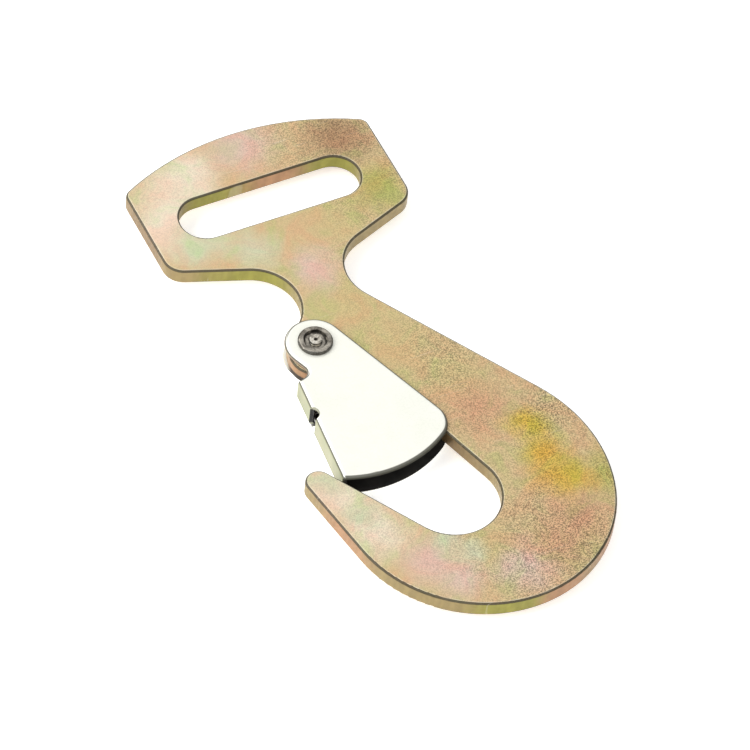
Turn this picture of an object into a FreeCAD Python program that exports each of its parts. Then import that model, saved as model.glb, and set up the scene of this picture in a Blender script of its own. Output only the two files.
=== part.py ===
import FreeCAD, Part
import math
import os

# Flat webbing snap hook: a stamped plate hook with a webbing slot in its head,
# a folded sheet latch on a clinched rivet, and a wire spring inside the latch.
# Frame: origin at the middle of the webbing slot, in the plate's middle plane.
# +X runs along the slot, +Y away from the hook's bowl, +Z out of the plate's face.

# ---- driving dimensions, in millimetres and degrees ----
PLATE_T = 5.0            # thickness of the stamped plate
EDGE_R = 0.7             # rounding of the plate's stamped edges

SLOT_LEN = 54.0          # webbing slot, overall, for 50 mm webbing
SLOT_W = 14.5            # webbing slot, across
HEAD_HALF_W = 37.0       # half width of the head
HEAD_TOP = 25.1          # top of the head above the slot's middle
HEAD_ARC_R = 79.0        # crown of the head's top edge
HEAD_CORNER_R = 3.0      # upper corners of the head
SHOULDER_R = 6.0         # lower corners of the head
SHOULDER_Y = -10.0       # height of the lower corners' centres
NECK_R = 13.2            # fillets either side of the neck
NECK_X = 21.1            # fillet centres, from the centre line
NECK_Y = -34.0

BOWL_X = 0.8             # centre of the bowl's inner circle
BOWL_Y = -112.1
BOWL_R = 13.4            # inner radius of the bowl
BACK_X = 7.4             # centre of the outer circle round the bowl
BACK_Y = -113.8
BACK_R = 37.6            # outer radius round the bowl
BACK_UPPER_R = 44.4      # flatter radius where the back runs into the shank
BACK_BLEND = -21.8       # direction from the bowl where the two radii meet
TIP_X = -30.2            # rounded point of the hook
TIP_Y = -94.9
TIP_R = 3.75

PIVOT_X = -11.2          # rivet axis
PIVOT_Y = -52.3
EAR_R = 7.6              # lobe of the plate round the rivet
LOBE_X = -12.2           # the lobe's lower swell
LOBE_Y = -55.0
LOBE_R = 7.3
WEDGE_R = 3.0            # fillet between the lobe and the shank's inner edge
SHANK_ANGLE = -71.8      # direction of the shank's inner edge, going down

LATCH_GAP = 0.3          # between each latch cheek and the plate
SHEET_T = 1.0            # latch sheet
LATCH_HEAD_R = 8.4       # latch cheeks round the rivet
LATCH_REACH_R = 33.7     # curve of the latch's lower edge
LATCH_REACH_X = -11.5
LATCH_REACH_Y = -66.0
LATCH_CORNER_R = 7.4     # lower inner corner of each cheek
LATCH_CORNER_DIR = -55.6
BRIDGE_ANGLE = 84.9      # direction of the bridge's outer face, going up
BRIDGE_X = -22.85        # a point on the bridge's outer face
BRIDGE_Y = -80.9
BRIDGE_TOP_Y = -63.0     # centre of the bridge's upper corner
BRIDGE_CORNER_R = 0.7
BEND_R = 1.2             # outside radius of the folds
RELIEF_X = -19.6         # relief cut at the top of the folds
RELIEF_Y = -59.8
RELIEF_R = 2.2
GROOVE_Y = -74.2         # groove that lets the spring's end through the bridge
GROOVE_R = 2.1
GROOVE_DEPTH = 1.7

RIVET_R = 3.0            # rivet shank
PLATE_HOLE_R = 3.02
LATCH_HOLE_R = 3.06
RIVET_HEAD_R = 4.8
RIVET_HEAD_T = 1.1
HEAD_GAP = 0.06          # under each rivet head

WIRE_D = 0.8             # latch spring
COIL_R = 3.0             # to the middle of the wire
COIL_X = -11.5
COIL_Y = -67.5
COIL_PITCH = 0.86
PEG_Y = -78.4            # where the spring's end is pegged into the shank's edge
PEG_HOLE_R = 0.65
PEG_HOLE_DEPTH = 1.9
LEG_Y = -74.4            # where the spring's other end turns out through the groove

LATCH_HALF_W = PLATE_T / 2 + LATCH_GAP + SHEET_T


def vec(x, y, z=0.0):
    return FreeCAD.Vector(x, y, z)


def polar(x, y, r, degrees):
    a = math.radians(degrees)
    return x + r * math.cos(a), y + r * math.sin(a)


def common_tangent(a, b):
    # Each circle is (x, y, signed radius): plus for a rounded corner, minus for a hollow.
    dx = b[0] - a[0]
    dy = b[1] - a[1]
    s = (a[2] - b[2]) / math.hypot(dx, dy)
    s = max(-1.0, min(1.0, s))
    d = math.atan2(dy, dx) - math.asin(s)
    nx = -math.sin(d)
    ny = math.cos(d)
    p = (a[0] + a[2] * nx, a[1] + a[2] * ny)
    q = (b[0] + b[2] * nx, b[1] + b[2] * ny)
    if math.hypot(q[0] - p[0], q[1] - p[1]) < 0.01:
        return p, p
    return p, q


def outline(circles):
    # Closed clockwise outline that runs round the circles like a belt.
    n = len(circles)
    links = [common_tangent(circles[i], circles[(i + 1) % n]) for i in range(n)]
    edges = []
    for i in range(n):
        x, y, r = circles[i]
        p = links[i - 1][1]
        q = links[i][0]
        a0 = math.atan2(p[1] - y, p[0] - x)
        a1 = math.atan2(q[1] - y, q[0] - x)
        if r > 0 and a1 > a0:
            a1 -= 2 * math.pi
        if r < 0 and a1 < a0:
            a1 += 2 * math.pi
        m = polar(x, y, abs(r), math.degrees((a0 + a1) / 2))
        edges.append(Part.Arc(vec(*p), vec(*m), vec(*q)).toShape())
        nxt = links[i][1]
        if nxt != q:
            edges.append(Part.makeLine(vec(*q), vec(*nxt)))
    return Part.Wire(Part.__sortEdges__(edges))


def prism(wire, z0, z1):
    face = Part.Face(wire)
    face.translate(vec(0, 0, z0))
    return face.extrude(vec(0, 0, z1 - z0))


def inside_big_circle(x, y, big_r, small_r, at_x, above):
    # Height of a small circle's centre that touches a big circle from within.
    rise = math.sqrt((big_r - small_r) ** 2 - (at_x - x) ** 2)
    return y + rise if above else y - rise


def cyl(r, h, x, y, z):
    return Part.makeCylinder(r, h, vec(x, y, z))


# Unit vectors along the shank's inner edge (down) and out of it, towards the bowl side.
SHANK_D = polar(0, 0, 1, SHANK_ANGLE)
SHANK_N = polar(0, 0, 1, SHANK_ANGLE - 90)
# Unit vectors along the bridge (up) and out of it, away from the latch.
BRIDGE_D = polar(0, 0, 1, BRIDGE_ANGLE)
BRIDGE_N = polar(0, 0, 1, BRIDGE_ANGLE + 90)


def on_shank_edge(y):
    # A point of the shank's straight inner edge at height y.
    px = BOWL_X - SHANK_N[0] * BOWL_R
    py = BOWL_Y - SHANK_N[1] * BOWL_R
    t = (y - py) / SHANK_D[1]
    return px + SHANK_D[0] * t, y


def on_bridge(y, inward=0.0):
    # A point at height y on the bridge's outer face, or that far inside it.
    t = (y - BRIDGE_Y) / BRIDGE_D[1]
    return (BRIDGE_X + BRIDGE_D[0] * t - BRIDGE_N[0] * inward,
            y - BRIDGE_N[1] * inward)


def wedge_centre():
    # Centre of the fillet between the pivot lobe and the shank's inner edge.
    ex, ey = on_shank_edge(LOBE_Y)
    dist = (LOBE_X - ex) * SHANK_N[0] + (LOBE_Y - ey) * SHANK_N[1]
    off = dist - WEDGE_R
    along = math.sqrt((LOBE_R + WEDGE_R) ** 2 - off ** 2)
    return (LOBE_X - SHANK_N[0] * off + SHANK_D[0] * along,
            LOBE_Y - SHANK_N[1] * off + SHANK_D[1] * along)


def plate_outline():
    crown_y = HEAD_TOP - HEAD_ARC_R
    corner_x = HEAD_HALF_W - HEAD_CORNER_R
    corner_y = inside_big_circle(0, crown_y, HEAD_ARC_R, HEAD_CORNER_R, corner_x, True)
    shoulder_x = HEAD_HALF_W - SHOULDER_R
    upper = polar(BACK_X, BACK_Y, BACK_R - BACK_UPPER_R, BACK_BLEND)
    wedge = wedge_centre()
    return outline([
        (0.0, crown_y, HEAD_ARC_R),
        (corner_x, corner_y, HEAD_CORNER_R),
        (shoulder_x, SHOULDER_Y, SHOULDER_R),
        (NECK_X, NECK_Y, -NECK_R),
        (upper[0], upper[1], BACK_UPPER_R),
        (BACK_X, BACK_Y, BACK_R),
        (TIP_X, TIP_Y, TIP_R),
        (BOWL_X, BOWL_Y, -BOWL_R),
        (wedge[0], wedge[1], -WEDGE_R),
        (LOBE_X, LOBE_Y, LOBE_R),
        (PIVOT_X, PIVOT_Y, EAR_R),
        (-NECK_X, NECK_Y, -NECK_R),
        (-shoulder_x, SHOULDER_Y, SHOULDER_R),
        (-corner_x, corner_y, HEAD_CORNER_R),
    ])


def slot_outline():
    r = SLOT_W / 2
    x = SLOT_LEN / 2 - r
    return outline([(x, 0.0, r), (-x, 0.0, r)])


def make_hook_plate():
    h = PLATE_T / 2
    body = prism(plate_outline(), -h, h)
    body = body.cut(prism(slot_outline(), -h - 1, h + 1))
    flat_edges = []
    for e in body.Edges:
        b = e.BoundBox
        if b.ZLength < 1e-6:
            flat_edges.append(e)
    body = body.makeFillet(EDGE_R, flat_edges)
    body = body.cut(cyl(PLATE_HOLE_R, PLATE_T + 2, PIVOT_X, PIVOT_Y, -h - 1))
    x, y = on_shank_edge(PEG_Y)
    start = vec(x + SHANK_N[0], y + SHANK_N[1])
    into = vec(-SHANK_N[0], -SHANK_N[1])
    peg = Part.makeCylinder(PEG_HOLE_R, PEG_HOLE_DEPTH + 1, start, into)
    peg.translate(vec(0, 0, peg_height()))
    return body.cut(peg)


def cheek_outline():
    corner = polar(LATCH_REACH_X, LATCH_REACH_Y, LATCH_REACH_R - LATCH_CORNER_R,
                   LATCH_CORNER_DIR)
    r = BRIDGE_CORNER_R
    # lower outer corner: inside both the bridge's line and the lower curve
    low = on_bridge(BRIDGE_Y, r)
    t = -30.0
    for step in range(60):
        x = low[0] + BRIDGE_D[0] * t
        y = low[1] + BRIDGE_D[1] * t
        miss = math.hypot(x - LATCH_REACH_X, y - LATCH_REACH_Y) - (LATCH_REACH_R - r)
        t += miss
    top = on_bridge(BRIDGE_TOP_Y, r)
    return outline([
        (PIVOT_X, PIVOT_Y, LATCH_HEAD_R),
        (corner[0], corner[1], LATCH_CORNER_R),
        (LATCH_REACH_X, LATCH_REACH_Y, LATCH_REACH_R),
        (x, y, r),
        (top[0], top[1], r),
        (RELIEF_X, RELIEF_Y, -RELIEF_R),
    ])


def latch_hollow():
    # Space between the cheeks, open everywhere but at the bridge.
    h = PLATE_T / 2 + LATCH_GAP
    low = on_bridge(-130.0, SHEET_T)
    high = on_bridge(RELIEF_Y - RELIEF_R, SHEET_T)
    wire = Part.makePolygon([
        vec(*low), vec(*high), vec(-40, high[1]), vec(-40, -20),
        vec(40, -20), vec(40, -130), vec(*low)])
    return prism(wire, -h, h)


def make_latch():
    w = LATCH_HALF_W
    body = prism(cheek_outline(), -w, w)
    fold = []
    for e in body.Edges:
        b = e.BoundBox
        long_edge = b.ZLength < 1e-6 and b.YLength > 25
        if long_edge and b.XMax < PIVOT_X - LATCH_HEAD_R:
            fold.append(e)
    body = body.makeFillet(BEND_R, fold)
    body = body.cut(latch_hollow())
    body = body.cut(cyl(LATCH_HOLE_R, 2 * w + 2, PIVOT_X, PIVOT_Y, -w - 1))
    gx, gy = on_bridge(GROOVE_Y, GROOVE_DEPTH - GROOVE_R)
    return body.cut(cyl(GROOVE_R, 2 * w + 2, gx, gy, -w - 1))


def make_rivet():
    top = LATCH_HALF_W + HEAD_GAP
    shank = cyl(RIVET_R, 2 * top + 0.4, PIVOT_X, PIVOT_Y, -top - 0.2)
    t = RIVET_HEAD_T
    # rolled front head: rounded rim, ring-shaped hollow and a boss with a small dimple
    front = cyl(RIVET_HEAD_R, t, PIVOT_X, PIVOT_Y, top)
    rims = [e for e in front.Edges if abs(e.BoundBox.ZMin - top - t) < 1e-6
            and e.BoundBox.ZLength < 1e-6]
    front = front.makeFillet(0.6, rims)
    ring = cyl(3.3, t, PIVOT_X, PIVOT_Y, top + 0.3)
    ring = ring.cut(cyl(1.7, t, PIVOT_X, PIVOT_Y, top + 0.3))
    front = front.cut(ring)
    # flat-domed rear head
    rear = cyl(RIVET_HEAD_R, t, PIVOT_X, PIVOT_Y, -top - t)
    rims = [e for e in rear.Edges if abs(e.BoundBox.ZMax + top + t) < 1e-6
            and e.BoundBox.ZLength < 1e-6]
    rear = rear.makeFillet(0.8, rims)
    body = shank.fuse(front).fuse(rear)
    dimple = cyl(0.5, t, PIVOT_X, PIVOT_Y, top + t - 0.6)
    return body.cut(dimple).removeSplitter()


def coil_turn_end(x, y, side):
    # Direction, from the coil's centre, where a straight leg to (x, y) leaves the coil.
    d = math.hypot(x - COIL_X, y - COIL_Y)
    out = math.degrees(math.acos(COIL_R / d))
    return math.degrees(math.atan2(y - COIL_Y, x - COIL_X)) + side * out


def shank_leg():
    # Bends of the leg that lies along the shank's edge, then turns into its hole.
    gap = WIRE_D / 2 + 0.12
    points = []
    for y, off in ((PEG_Y + 4.2, gap), (PEG_Y, gap), (PEG_Y, -1.3)):
        x, yy = on_shank_edge(y)
        points.append((x + SHANK_N[0] * off, yy + SHANK_N[1] * off))
    return points


def bridge_leg():
    # Bends of the leg that bears on the bridge, then turns out through its groove.
    gap = SHEET_T + WIRE_D / 2 + 0.12
    points = []
    for y, inward in ((LEG_Y + 3.4, gap), (LEG_Y, gap), (LEG_Y, -0.1)):
        points.append(on_bridge(y, inward))
    return points


def coil_span():
    # Start direction and angle turned by the coil, from the shank leg to the bridge leg.
    a = coil_turn_end(*shank_leg()[0], 1)
    b = coil_turn_end(*bridge_leg()[0], -1)
    turn = (b - a) % 360 + 3 * 360
    return a, turn


def coil_height():
    return COIL_PITCH * coil_span()[1] / 360


def peg_height():
    # The shank leg leaves the coil's top turn.
    return coil_height() / 2


def rod(points, z):
    # Round wire through a row of points at one height, with rounded bends.
    r = WIRE_D / 2
    parts = []
    for p, q in zip(points, points[1:]):
        d = vec(q[0] - p[0], q[1] - p[1])
        parts.append(Part.makeCylinder(r, d.Length, vec(p[0], p[1], z), d))
    for p in points:
        parts.append(Part.makeSphere(r, vec(p[0], p[1], z)))
    return parts


def make_spring():
    a, turn = coil_span()
    height = coil_height()
    helix = Part.makeHelix(COIL_PITCH, height, COIL_R)
    r = WIRE_D / 2
    section = Part.Wire(Part.makeCircle(r, vec(COIL_R, 0, 0), vec(0, 1, 0)))
    coil = Part.Wire(helix).makePipeShell([section], True, True)
    # the coil falls as it turns from the shank leg to the bridge leg
    coil.rotate(vec(0, 0, 0), vec(1, 0, 0), 180)
    coil.rotate(vec(0, 0, 0), vec(0, 0, 1), a)
    coil.translate(vec(COIL_X, COIL_Y, height / 2))
    top_end = polar(COIL_X, COIL_Y, COIL_R, a)
    low_end = polar(COIL_X, COIL_Y, COIL_R, a - turn)
    wire = [coil]
    wire += rod([top_end] + shank_leg(), height / 2)
    wire += rod([low_end] + bridge_leg(), -height / 2)
    body = wire[0]
    for w in wire[1:]:
        body = body.fuse(w)
    return body


def save(shape, name):
    if not shape.isValid():
        raise ValueError(name + " is not a valid solid")
    solids = shape.Solids
    if len(solids) != 1:
        raise ValueError(name + " has %d solids" % len(solids))
    solids[0].exportStep("parts/" + name + ".step")
    b = shape.BoundBox
    print(name, round(shape.Volume, 1), [round(v, 2) for v in (
        b.XMin, b.XMax, b.YMin, b.YMax, b.ZMin, b.ZMax)])


os.makedirs("parts", exist_ok=True)
save(make_hook_plate(), "hook_plate")
save(make_latch(), "latch")
save(make_rivet(), "pivot_rivet")
save(make_spring(), "latch_spring")
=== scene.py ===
import bpy
import math
from mathutils import Matrix, Vector


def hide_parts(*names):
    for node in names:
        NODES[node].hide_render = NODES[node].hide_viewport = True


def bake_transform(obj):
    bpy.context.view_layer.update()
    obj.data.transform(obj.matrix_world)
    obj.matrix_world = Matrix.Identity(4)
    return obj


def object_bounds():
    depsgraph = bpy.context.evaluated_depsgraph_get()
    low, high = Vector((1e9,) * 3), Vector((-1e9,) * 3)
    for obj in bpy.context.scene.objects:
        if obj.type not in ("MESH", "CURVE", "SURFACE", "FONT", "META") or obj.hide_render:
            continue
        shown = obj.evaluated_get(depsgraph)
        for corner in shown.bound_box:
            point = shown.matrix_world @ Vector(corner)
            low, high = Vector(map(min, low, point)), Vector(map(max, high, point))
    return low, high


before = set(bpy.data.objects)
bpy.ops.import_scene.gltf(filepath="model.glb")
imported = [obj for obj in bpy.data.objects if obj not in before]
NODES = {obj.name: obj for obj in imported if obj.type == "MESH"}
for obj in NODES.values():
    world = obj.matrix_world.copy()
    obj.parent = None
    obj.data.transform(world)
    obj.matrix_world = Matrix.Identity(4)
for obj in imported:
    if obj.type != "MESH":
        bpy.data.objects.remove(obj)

# Flat webbing snap hook with a spring latch, lying on a light table. The scene is in metres, in
# the CAD frame: origin at the middle of the webbing slot, +Y away from the bowl, +Z up. Places,
# heights and radii below are in millimetres, and mm() turns them into metres.

SIZE_BEFORE = [list(map(float, v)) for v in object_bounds()]

MM_PER_M = 1000.0


def mm(length):
    return length / MM_PER_M


# ---------------------------------------------------------------- places on the hook
# x and y of upright axes
RIVET_AXIS = (-11.2, -52.3)
LOBE_AXIS = (-12.2, -55.0)      # middle of the plate's lobe under the latch's head
WINDOW_AXIS = (-22.65, -74.16)  # middle of the opening in the latch's bridge

# a pair is where a mask starts and where it is full, and a foursome also where it ends again
# heights from the plate's middle plane, for a plate that ends at 2.5
FACE_FILM_FROM = (1.95, 2.20)
# a band of painted shade on the plate's rounded edges
EDGE_SHADE_BAND = (1.86, 2.02, 2.455, 2.490)
# a band of painted highlight beside the plate's faces
EDGE_HIGHLIGHT_BAND = (2.465, 2.485, 2.497, 2.4998)
# depths where the latch's insides and its window are painted near black as shade
INSIDE_CHEEKS = (2.90, 2.82)
INSIDE_WINDOW = (2.9, 2.5)
# radii
# where painted shadow falls on the lobe's wall under the latch's head
LOBE_WALL = (6.9, 7.2, 8.2, 8.6)
# the window's lining, darkened with painted shade
WINDOW_LINING = (2.22, 2.14)
# the rivet's rim, hollow, boss foot and dimple take painted shade
RIVET_RIM = (4.35, 4.60)
RIVET_RING = (1.85, 2.05, 4.40, 4.60)
RIVET_HOLLOW = (2.60, 2.90, 3.20, 3.40)
RIVET_BOSS_FOOT = (1.68, 1.82, 1.95, 2.1)
RIVET_DIMPLE = (0.60, 0.42)

# ---------------------------------------------------------------- colours
# a yellow chromate film takes these as its thickness changes
FILM = (0.65, 0.50, 0.27)
CREAM = (0.82, 0.72, 0.55)
BLUSH = (0.72, 0.54, 0.43)
SALMON = (0.66, 0.40, 0.23)
KHAKI = (0.63, 0.51, 0.25)
OLIVE = (0.50, 0.46, 0.14)
GOLD = (0.68, 0.46, 0.08)
BROWN = (0.46, 0.30, 0.16)
MINT = (0.62, 0.63, 0.42)
# each stain is x, y and radius
FACE_STAINS = [
    (CREAM, [(-28, 4, 16), (-18, 15, 11), (-24, -115, 12), (-28, -100, 10)]),
    (KHAKI, [(5, -42, 12), (8, -60, 15), (18, -76, 12), (15, -14, 10), (0, -132, 9)]),
    (BLUSH, [(0, 20, 12), (0, -28, 9), (-14, -130, 9), (-8, -139, 8), (8, -142, 9)]),
    (MINT, [(-26, -10, 9), (-13, -15, 8), (-25, -110, 6), (-8, -125, 5), (-28, -97, 5),
            (-3, -131, 5)]),
    (SALMON, [(20, -88, 11), (30, -132, 10), (20, -138, 9)]),
    (OLIVE, [(30, -8, 10), (42, -121, 9)]),
    (GOLD, [(29, -98, 6), (30, -108, 8), (31, -118, 9)]),
    (BROWN, [(26, 13, 11)]),
]
WALL_FILM = (0.44, 0.33, 0.14)
WALL_OLIVE = (0.40, 0.37, 0.07)
WALL_SALMON = (0.58, 0.32, 0.16)
WALL_BROWN = (0.36, 0.23, 0.10)
WALL_STAINS = [
    (WALL_OLIVE, [(-14, -18, 17), (-12, 7, 15), (22, 6, 10), (0, -150, 12)]),
    (WALL_BROWN, [(-36, 4, 15), (6, -90, 20)]),
    (WALL_SALMON, [(4, 7, 11), (16, -150, 9), (34, -140, 13), (-14, -58, 12),
                   (-29, -112, 13)]),
]
FACE_CORE = 0.1    # a stain is at full strength inside this share of its radius
WALL_CORE = 0.3
STAIN_REACH = 1.3  # and gone beyond this many radii
WISPS = [(0.34, (0.86, 1.01, 0.84)), (0.48, (1.0, 1.0, 1.0)), (0.64, (1.06, 0.91, 0.93))]
# a dark line of painted shade on the plate's rounded edges
PLATE_EDGE_SHADE = (0.040, 0.034, 0.018)
# a pale line of painted highlight beside the plate's faces
PLATE_EDGE_HIGHLIGHT = (0.86, 0.82, 0.66)
PLATE_SCRATCH = (0.84, 0.78, 0.64)
# painted shadow under the latch's head
LOBE_WALL_SHADE = (0.020, 0.017, 0.010)

ZINC = [(0.32, (0.94, 0.95, 0.85)), (0.50, (0.96, 0.96, 0.88)), (0.68, (0.95, 0.94, 0.84))]
# the latch's upright faces: a greener film, darkened as painted shade
ZINC_EDGE_FILM_AND_SHADE = [(0.35, (0.33, 0.34, 0.19)), (0.65, (0.43, 0.42, 0.27))]
ZINC_BLUSH = (0.38, 0.265, 0.19)
# painted shadow on the rear cheek under the latch's head
ZINC_REAR_SHADE = (0.030, 0.026, 0.018)
# painted shade on the cut faces of the cheeks' lower arc
ZINC_UNDER_RIM_SHADE = (0.035, 0.036, 0.028)
# painted shade lines along folds, rims and the bridge's foot
ZINC_SHADE_LINE = (0.060, 0.060, 0.042)
ZINC_SCRATCH = (0.76, 0.76, 0.72)
# painted shade in the window's lining
ZINC_WINDOW_SHADE = (0.34, 0.34, 0.25)
# painted shade inside the folded sheet and its window
INSIDE_SHADE = [(0.35, (0.008, 0.008, 0.007)), (0.7, (0.030, 0.028, 0.024))]

# the rivet's steel, its brightest tones partly a painted highlight
RIVET_STEEL_AND_HIGHLIGHT = [(0.34, (0.24, 0.22, 0.18)), (0.48, (0.75, 0.70, 0.60)), (0.58, (0.96, 0.93, 0.84))]
RIVET_DULL = (0.22, 0.20, 0.17)
RIVET_WORN = (0.52, 0.48, 0.41)
# painted shade round the rivet's rim and in its hollows
RIVET_SHADE = (0.022, 0.020, 0.016)

WIRE = [(0.35, (0.30, 0.29, 0.27)), (0.65, (0.52, 0.51, 0.48))]

TABLE = [(0.3, (0.88, 0.88, 0.875)), (0.7, (0.91, 0.91, 0.905))]
TABLE_GLOW = 0.45
TABLE_SIZE = 6.0
TABLE_GAP = 0.00002  # from the hook's lowest point down to the table

# ---------------------------------------------------------------- light and camera settings
LIGHT_AIM = Vector((0, -0.06, 0))
LIGHTS = [
    # name, direction from the hook, distance, size, watts, colour
    ("far_softbox", (-0.45, 0.75, 0.85), 1.3, 0.9, 5.0, (1.0, 0.99, 0.97)),
    ("left_softbox", (-1.0, 0.15, 0.75), 1.2, 0.9, 9.0, (1.0, 1.0, 1.0)),
    ("near_fill", (-0.3, -1.0, 0.7), 1.5, 1.2, 4.5, (1.0, 0.99, 0.98)),
]
SKY = [(0.0, (0.30, 0.30, 0.30)), (1.0, (0.95, 0.95, 0.95))]
SKY_STRENGTH = 0.85

AZIMUTH = math.radians(-31.27)
ELEVATION = math.radians(51.0)
ROLL = math.radians(7.0)
DISTANCE = 1.633
AIM = Vector((0.0004, -0.0662, 0.0))
SENSOR_MM = 36.0
LENS_MM = 289.8
CLIP_END = 20.0


# ---------------------------------------------------------------- node helpers
class Graph:
    # adds nodes to one tree; all methods but node() and put() return output sockets
    def __init__(self, tree):
        self.tree = tree
        self.row = 0

    def node(self, kind, **settings):
        n = self.tree.nodes.new(kind)
        self.row += 1
        n.location = (180 * self.row, -60 * (self.row % 7))
        for k, v in settings.items():
            setattr(n, k, v)
        return n

    def put(self, socket, value):
        if isinstance(value, bpy.types.NodeSocket):
            self.tree.links.new(value, socket)
        else:
            socket.default_value = value

    def noise(self, coords, scale, detail=2.0, rough=0.5, distortion=0.0, output="Fac"):
        n = self.node("ShaderNodeTexNoise")
        self.put(n.inputs["Vector"], coords)
        n.inputs["Scale"].default_value = scale
        n.inputs["Detail"].default_value = detail
        n.inputs["Roughness"].default_value = rough
        n.inputs["Distortion"].default_value = distortion
        return n.outputs[output]

    def moved(self, coords, shift=(0, 0, 0), scale=(1, 1, 1), turn=0.0):
        n = self.node("ShaderNodeMapping")
        self.put(n.inputs["Vector"], coords)
        n.inputs["Location"].default_value = shift
        n.inputs["Scale"].default_value = scale
        n.inputs["Rotation"].default_value = (0, 0, math.radians(turn))
        return n.outputs["Vector"]

    def drifted(self, coords, reach):
        # pushes coordinates about in x and y, over a range of reach metres
        n = self.node("ShaderNodeVectorMath", operation="MULTIPLY_ADD")
        self.put(n.inputs[0], self.noise(coords, 75.0, 2.5, 0.55, output="Color"))
        n.inputs[1].default_value = (reach, reach, 0.0)
        centred = self.node("ShaderNodeVectorMath", operation="SUBTRACT")
        self.put(centred.inputs[0], coords)
        centred.inputs[1].default_value = (reach / 2, reach / 2, 0.0)
        self.put(n.inputs[2], centred.outputs["Vector"])
        return n.outputs["Vector"]

    def split(self, vector):
        n = self.node("ShaderNodeSeparateXYZ")
        self.put(n.inputs[0], vector)
        return n.outputs["X"], n.outputs["Y"], n.outputs["Z"]

    def math(self, op, a, b=0.0):
        n = self.node("ShaderNodeMath", operation=op)
        self.put(n.inputs[0], a)
        self.put(n.inputs[1], b)
        return n.outputs[0]

    def times(self, a, b):
        return self.math("MULTIPLY", a, b)

    def plus(self, a, b):
        return self.math("ADD", a, b)

    def minus(self, a, b):
        return self.math("SUBTRACT", a, b)

    def larger(self, a, b):
        return self.math("MAXIMUM", a, b)

    def span(self, value, a, b, lo=0.0, hi=1.0):
        # a smooth step from lo at a to hi at b
        n = self.node("ShaderNodeMapRange", interpolation_type="SMOOTHSTEP")
        self.put(n.inputs["Value"], value)
        n.inputs["From Min"].default_value = a
        n.inputs["From Max"].default_value = b
        n.inputs["To Min"].default_value = lo
        n.inputs["To Max"].default_value = hi
        return n.outputs["Result"]

    def band(self, value, start, full_from, full_to, end):
        # 1 between the two middle values, and 0 outside the other two
        return self.times(self.span(value, start, full_from), self.span(value, end, full_to))

    def distance_to(self, coords, axis):
        # distance in millimetres from an upright axis at x, y millimetres
        x, y = axis
        n = self.node("ShaderNodeVectorMath", operation="DISTANCE")
        self.put(n.inputs[0], self.moved(coords, (mm(-x), mm(-y), 0), (1, 1, 0)))
        return self.times(n.outputs["Value"], MM_PER_M)

    def ramp(self, value, stops):
        n = self.node("ShaderNodeValToRGB")
        self.put(n.inputs["Fac"], value)
        elements = n.color_ramp.elements
        while len(elements) < len(stops):
            elements.new(0.5)
        for element, (at, colour) in zip(elements, stops):
            element.position = at
            element.color = (*colour, 1.0)
        return n.outputs["Color"]

    def mix(self, fac, a, b, blend="MIX"):
        n = self.node("ShaderNodeMix", data_type="RGBA", blend_type=blend)
        self.put(n.inputs["Factor"], fac)
        ends = [s for s in n.inputs if s.type == "RGBA"]
        for end, value in zip(ends, (a, b)):
            self.put(end, value if isinstance(value, bpy.types.NodeSocket) else (*value, 1.0))
        return [s for s in n.outputs if s.type == "RGBA"][0]

    def shade(self, colour, value):
        # multiplies a colour by a single value
        n = self.node("ShaderNodeCombineColor")
        for s in n.inputs:
            self.put(s, value)
        return self.mix(1.0, colour, n.outputs["Color"], "MULTIPLY")

    def stained(self, coords, ground, stains, core):
        # lays soft round stains over a ground colour
        colour = ground
        for tint, spots in stains:
            for x, y, radius in spots:
                inside = self.span(self.distance_to(coords, (x, y)),
                                   radius * STAIN_REACH, radius * core)
                colour = self.mix(inside, colour, tint)
        return colour

    def bump(self, height, strength, distance, normal=None):
        n = self.node("ShaderNodeBump")
        n.inputs["Strength"].default_value = strength
        n.inputs["Distance"].default_value = distance
        self.put(n.inputs["Height"], height)
        if normal is not None:
            self.put(n.inputs["Normal"], normal)
        return n.outputs["Normal"]


def new_material(name):
    m = bpy.data.materials.new(name)
    m.use_nodes = True
    m.node_tree.nodes.clear()
    g = Graph(m.node_tree)
    out = g.node("ShaderNodeOutputMaterial")
    bsdf = g.node("ShaderNodeBsdfPrincipled")
    m.node_tree.links.new(bsdf.outputs["BSDF"], out.inputs["Surface"])
    coords = g.node("ShaderNodeTexCoord").outputs["Object"]
    return m, g, bsdf, coords


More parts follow.
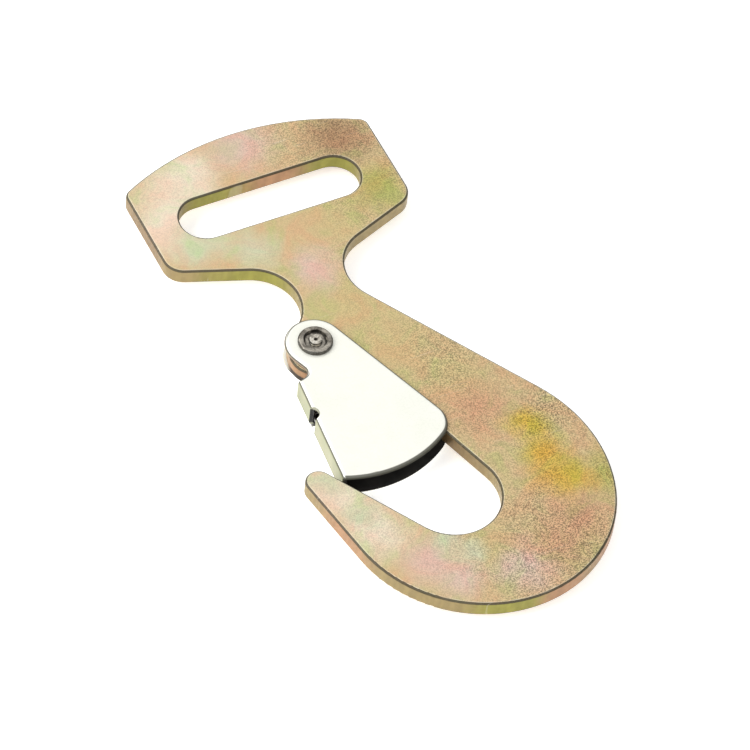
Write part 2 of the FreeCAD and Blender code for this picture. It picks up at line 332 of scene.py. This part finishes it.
# ---------------------------------------------------------------- materials
def yellow_zinc():
    m, g, bsdf, co = new_material("yellow_zinc_plate")
    _, y, z = g.split(co)
    height = g.times(g.math("ABSOLUTE", z), MM_PER_M)
    # the chromate film's interference colours drift over a few centimetres, with ragged borders
    wander = g.drifted(co, mm(12))
    wander_x, wander_y, _ = g.split(wander)
    film = g.stained(wander, FILM, FACE_STAINS, FACE_CORE)
    wisps = g.noise(g.moved(co, (0.31, 0.17, 0.0), (1, 1, 0.4)), 95.0, 3.0, 0.6, 0.8)
    film = g.mix(0.9, film, g.ramp(wisps, WISPS), "MULTIPLY")
    # fine crystalline grain of the plating, much stronger on the far side and the crown
    grain = g.noise(co, 2500.0, 1.5, 0.7)
    coarse = g.noise(co, 900.0, 2.0, 0.6)
    across = g.minus(wander_x, g.times(wander_y, 0.22))
    patchy = g.span(g.noise(g.moved(co, (0.4, 0.2, 0.1)), 40.0), 0.35, 0.62, 0.55, 1.0)
    where = g.times(g.span(across, mm(-12), mm(62), 0.26, 1.0), patchy)
    crown = g.times(g.span(wander_y, mm(-14), mm(14), 0.0, 0.85),
                    g.span(wander_x, mm(-20), mm(30)))
    where = g.larger(where, crown)
    dark = g.times(g.span(grain, 0.36, 0.56, 0.62, 0.0), where)
    light = g.times(g.span(grain, 0.50, 0.66, 0.0, 0.26), where)
    cloud = g.times(g.span(coarse, 0.36, 0.62, 0.12, 0.0), where)
    face = g.shade(film, g.plus(g.minus(1.05, g.plus(dark, cloud)), light))
    # sheared walls: deeper olive, brown and salmon film
    wall = g.stained(wander, WALL_FILM, WALL_STAINS, WALL_CORE)
    streak = g.noise(g.moved(co, scale=(1, 1, 0.25)), 420.0, 2.0, 0.6)
    wall = g.shade(wall, g.span(streak, 0.3, 0.7, 0.64, 0.78))
    colour = g.mix(g.span(height, *FACE_FILM_FROM), wall, face)
    # the rounded edges: a dark line of painted shade along the rounding, and a pale line of
    # painted highlight beside the face
    shade_line = g.band(height, *EDGE_SHADE_BAND)
    colour = g.mix(g.times(shade_line, 0.92), colour, PLATE_EDGE_SHADE)
    highlight_strength = g.span(g.noise(co, 240.0, 3.0), 0.35, 0.65, 0.2, 0.6)
    colour = g.mix(g.times(g.band(height, *EDGE_HIGHLIGHT_BAND), highlight_strength), colour, PLATE_EDGE_HIGHLIGHT)
    # a few light handling scratches
    first = g.noise(g.moved(co, scale=(1, 22, 1), turn=24), 60.0)
    second = g.noise(g.moved(co, (0.5, 0, 0), (1, 26, 1), -58), 48.0)
    scratch = g.plus(g.span(first, 0.69, 0.73, 0, 0.5), g.span(second, 0.70, 0.74, 0, 0.5))
    colour = g.mix(g.times(scratch, 0.3), colour, PLATE_SCRATCH)
    # painted shadow lies on the lower part of the wall under the latch's head
    painted_shade = g.times(g.band(g.distance_to(co, LOBE_AXIS), *LOBE_WALL),
                    g.span(y, mm(-52.5), mm(-55.5)))
    painted_shade = g.times(painted_shade, g.span(z, 0.0, mm(-0.6)))
    colour = g.mix(g.times(painted_shade, 0.95), colour, LOBE_WALL_SHADE)
    g.put(bsdf.inputs["Base Color"], colour)
    matt = g.larger(shade_line, painted_shade)
    g.put(bsdf.inputs["Metallic"], g.minus(0.62, g.times(matt, 0.5)))
    rough = g.plus(g.span(coarse, 0.3, 0.7, 0.36, 0.52), g.times(matt, 0.25))
    g.put(bsdf.inputs["Roughness"], rough)
    bsdf.inputs["Coat Weight"].default_value = 0.06
    bsdf.inputs["Coat Roughness"].default_value = 0.35
    texture = g.bump(g.plus(g.times(grain, 0.6), g.times(coarse, 0.4)), 0.30, mm(0.03))
    g.put(bsdf.inputs["Normal"], g.bump(g.noise(co, 130.0), 0.35, mm(0.08), texture))
    return m


def bright_zinc():
    m, g, bsdf, co = new_material("bright_zinc_sheet")
    nx, ny, nz = g.split(g.node("ShaderNodeNewGeometry").outputs["Normal"])
    flat = g.math("ABSOLUTE", nz)
    _, y, z = g.split(co)
    depth = g.times(g.math("ABSOLUTE", z), MM_PER_M)
    patches = g.noise(co, 60.0, 3.0, 0.55, 0.4)
    grain = g.noise(co, 1800.0, 2.0, 0.6)
    colour = g.shade(g.ramp(patches, ZINC), g.span(grain, 0.3, 0.7, 0.965, 1.01))
    # the film is greener and duller on the bridge, the folds and the cut edges, and painted
    # darker there as shade
    edge_film_and_shade = g.ramp(g.noise(co, 120.0, 3.0), ZINC_EDGE_FILM_AND_SHADE)
    on_head = g.span(y, mm(-63), mm(-60.5))
    edge_film_and_shade = g.mix(g.times(on_head, g.span(nx, -0.99, -0.90)), edge_film_and_shade, ZINC_BLUSH)
    # painted shadow darkens the rear cheek under the head
    rear_shade = g.times(on_head, g.span(z, mm(-2.0), mm(-2.6)))
    edge_film_and_shade = g.mix(rear_shade, edge_film_and_shade, ZINC_REAR_SHADE)
    # painted shade on the cut faces of the cheeks' lower arc
    under_rim_shade = g.times(g.span(ny, -0.15, -0.35), g.span(y, mm(-78), mm(-84)))
    edge_film_and_shade = g.mix(under_rim_shade, edge_film_and_shade, ZINC_UNDER_RIM_SHADE)
    sideways = g.span(flat, 0.80, 0.35)
    colour = g.mix(sideways, colour, edge_film_and_shade)
    # a dark line of painted shade runs along the folds and the bridge's foot, round each
    # cheek's rim and along the lower arc
    on_fold = g.span(nx, -0.30, -0.50)
    fold = g.times(g.band(flat, 0.34, 0.50, 0.68, 0.82), on_fold)
    rim = g.times(g.band(flat, 0.10, 0.25, 0.90, 0.97), g.minus(1.0, on_fold))
    foot = g.times(g.span(z, mm(-2.3), mm(-2.7)), g.span(nx, -0.97, -0.99))
    shade_line = g.larger(g.times(fold, 0.9), g.times(rim, 0.9))
    shade_line = g.larger(shade_line, g.times(foot, 0.7))
    shade_line = g.larger(shade_line, g.times(under_rim_shade, sideways))
    colour = g.mix(shade_line, colour, ZINC_SHADE_LINE)
    scratches = g.noise(g.moved(co, scale=(1, 40, 1), turn=22), 50.0, 3.0, 0.6)
    colour = g.mix(g.times(g.span(scratches, 0.66, 0.72), 0.18), colour, ZINC_SCRATCH)
    # the window's lining is darkened with painted shade, and the insides of the folded sheet
    # and of its window are painted near black as shade
    inside_shade = g.times(g.span(depth, *INSIDE_CHEEKS), g.span(nx, -0.75, -0.55))
    inside_shade = g.times(inside_shade, g.span(y, mm(-52), mm(-55.5)))
    window = g.span(g.distance_to(co, WINDOW_AXIS), *WINDOW_LINING)
    colour = g.mix(window, colour, ZINC_WINDOW_SHADE)
    inside_shade = g.larger(inside_shade, g.times(window, g.span(depth, *INSIDE_WINDOW)))
    colour = g.mix(inside_shade, colour, g.ramp(g.noise(co, 160.0, 3.0, 0.6), INSIDE_SHADE))
    g.put(bsdf.inputs["Base Color"], colour)
    matt = g.larger(inside_shade, shade_line)
    g.put(bsdf.inputs["Metallic"], g.minus(0.45, g.times(matt, 0.4)))
    rough = g.plus(g.span(patches, 0.3, 0.7, 0.32, 0.44), g.times(matt, 0.25))
    g.put(bsdf.inputs["Roughness"], rough)
    texture = g.bump(grain, 0.25, mm(0.02))
    g.put(bsdf.inputs["Normal"], g.bump(scratches, 0.10, mm(0.03), texture))
    return m


def rivet_steel():
    m, g, bsdf, co = new_material("rivet_steel")
    patches = g.noise(co, 420.0, 3.0, 0.6, 0.5)
    _, _, z = g.split(co)
    front = g.span(z, 0.0, mm(1))
    uneven = g.times(g.minus(g.noise(co, 500.0), 0.5), 0.9)
    r = g.plus(g.distance_to(co, RIVET_AXIS), uneven)
    # dull on the rolled ring, painted shade round its rim and in its hollow, bright on the
    # boss, partly worn and partly a painted highlight
    ring = g.mix(g.span(patches, 0.35, 0.65), RIVET_DULL, RIVET_WORN)
    colour = g.mix(g.band(r, *RIVET_RING), g.ramp(patches, RIVET_STEEL_AND_HIGHLIGHT), ring)
    middle = g.larger(g.band(r, *RIVET_BOSS_FOOT), g.span(r, *RIVET_DIMPLE))
    middle = g.larger(middle, g.band(r, *RIVET_HOLLOW))
    painted_shade = g.larger(g.span(r, *RIVET_RIM), g.times(front, middle))
    colour = g.mix(g.times(painted_shade, 0.88), colour, RIVET_SHADE)
    colour = g.shade(colour, g.span(g.noise(co, 2600.0, 2.0, 0.6), 0.3, 0.7, 0.70, 1.12))
    g.put(bsdf.inputs["Base Color"], colour)
    bsdf.inputs["Metallic"].default_value = 0.85
    rough = g.plus(g.span(patches, 0.3, 0.7, 0.28, 0.44), g.times(painted_shade, 0.2))
    g.put(bsdf.inputs["Roughness"], rough)
    g.put(bsdf.inputs["Normal"], g.bump(patches, 0.30, mm(0.06)))
    return m


def spring_wire():
    m, g, bsdf, co = new_material("spring_wire")
    patches = g.noise(co, 300.0, 3.0, 0.6)
    g.put(bsdf.inputs["Base Color"], g.ramp(patches, WIRE))
    bsdf.inputs["Metallic"].default_value = 0.95
    g.put(bsdf.inputs["Roughness"], g.span(patches, 0.3, 0.7, 0.25, 0.40))
    g.put(bsdf.inputs["Normal"], g.bump(g.noise(co, 2600.0), 0.2, mm(0.02)))
    return m


def table_top():
    m, g, bsdf, co = new_material("pale_table")
    patches = g.noise(co, 6.0, 3.0)
    g.put(bsdf.inputs["Base Color"], g.ramp(patches, TABLE))
    g.put(bsdf.inputs["Roughness"], g.span(patches, 0.3, 0.7, 0.85, 0.95))
    # a light table: part of its white is its own
    bsdf.inputs["Emission Color"].default_value = (1.0, 1.0, 1.0, 1.0)
    bsdf.inputs["Emission Strength"].default_value = TABLE_GLOW
    g.put(bsdf.inputs["Normal"], g.bump(g.noise(co, 900.0), 0.05, mm(0.05)))
    return m


# ---------------------------------------------------------------- finishes on the CAD nodes
def finish(mesh, material):
    mesh.materials.clear()
    mesh.materials.append(material)


finish(NODES["hook_plate"].data, yellow_zinc())
finish(NODES["latch"].data, bright_zinc())
finish(NODES["pivot_rivet"].data, rivet_steel())

# ---------------------------------------------------------------- latch spring
# The wire runs from its peg hole in the plate's edge to the opening in the latch's bridge.
wire = bpy.data.objects.new("latch_spring_wire", NODES["latch_spring"].data.copy())
bpy.context.collection.objects.link(wire)
finish(wire.data, spring_wire())
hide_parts("latch_spring")
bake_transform(wire)

# ---------------------------------------------------------------- floor
hook_bottom = SIZE_BEFORE[0][2]
bpy.ops.mesh.primitive_plane_add(size=TABLE_SIZE, location=(0, 0, hook_bottom - TABLE_GAP))
floor = bpy.context.object
floor.name = "floor"
floor.data.materials.append(table_top())


# ---------------------------------------------------------------- light
def area(name, direction, distance, size, power, colour):
    d = Vector(direction).normalized()
    lamp = bpy.data.lights.new(name, "AREA")
    lamp.shape = "DISK"
    lamp.size = size
    lamp.energy = power
    lamp.color = colour
    o = bpy.data.objects.new(name, lamp)
    bpy.context.collection.objects.link(o)
    o.location = LIGHT_AIM + d * distance
    o.rotation_euler = (-d).to_track_quat("-Z", "Y").to_euler()


for settings in LIGHTS:
    area(*settings)

# a pale sky, darker towards the horizon
world = bpy.data.worlds.new("studio")
bpy.context.scene.world = world
world.use_nodes = True
world.node_tree.nodes.clear()
g = Graph(world.node_tree)
out = g.node("ShaderNodeOutputWorld")
bg = g.node("ShaderNodeBackground")
_, _, rise = g.split(g.node("ShaderNodeTexCoord").outputs["Generated"])
g.put(bg.inputs["Color"], g.ramp(g.span(rise, 0.05, 0.85), SKY))
bg.inputs["Strength"].default_value = SKY_STRENGTH
world.node_tree.links.new(bg.outputs["Background"], out.inputs["Surface"])

# ---------------------------------------------------------------- camera
back = Vector((math.sin(AZIMUTH) * math.cos(ELEVATION),
               -math.cos(AZIMUTH) * math.cos(ELEVATION),
               math.sin(ELEVATION)))
right = Vector((math.cos(AZIMUTH), math.sin(AZIMUTH), 0.0))
up = back.cross(right)
rolled_right = math.cos(ROLL) * right + math.sin(ROLL) * up
rolled_up = -math.sin(ROLL) * right + math.cos(ROLL) * up
cam_data = bpy.data.cameras.new("camera")
cam_data.sensor_width = SENSOR_MM
cam_data.lens = LENS_MM
cam_data.clip_end = CLIP_END
cam = bpy.data.objects.new("camera", cam_data)
bpy.context.collection.objects.link(cam)
place = Matrix((rolled_right, rolled_up, back)).transposed().to_4x4()
place.translation = AIM + back * DISTANCE
cam.matrix_world = place
bpy.context.scene.camera = cam

view = bpy.context.scene.view_settings
view.view_transform = "Standard"
view.look = "None"
view.exposure = 0.0
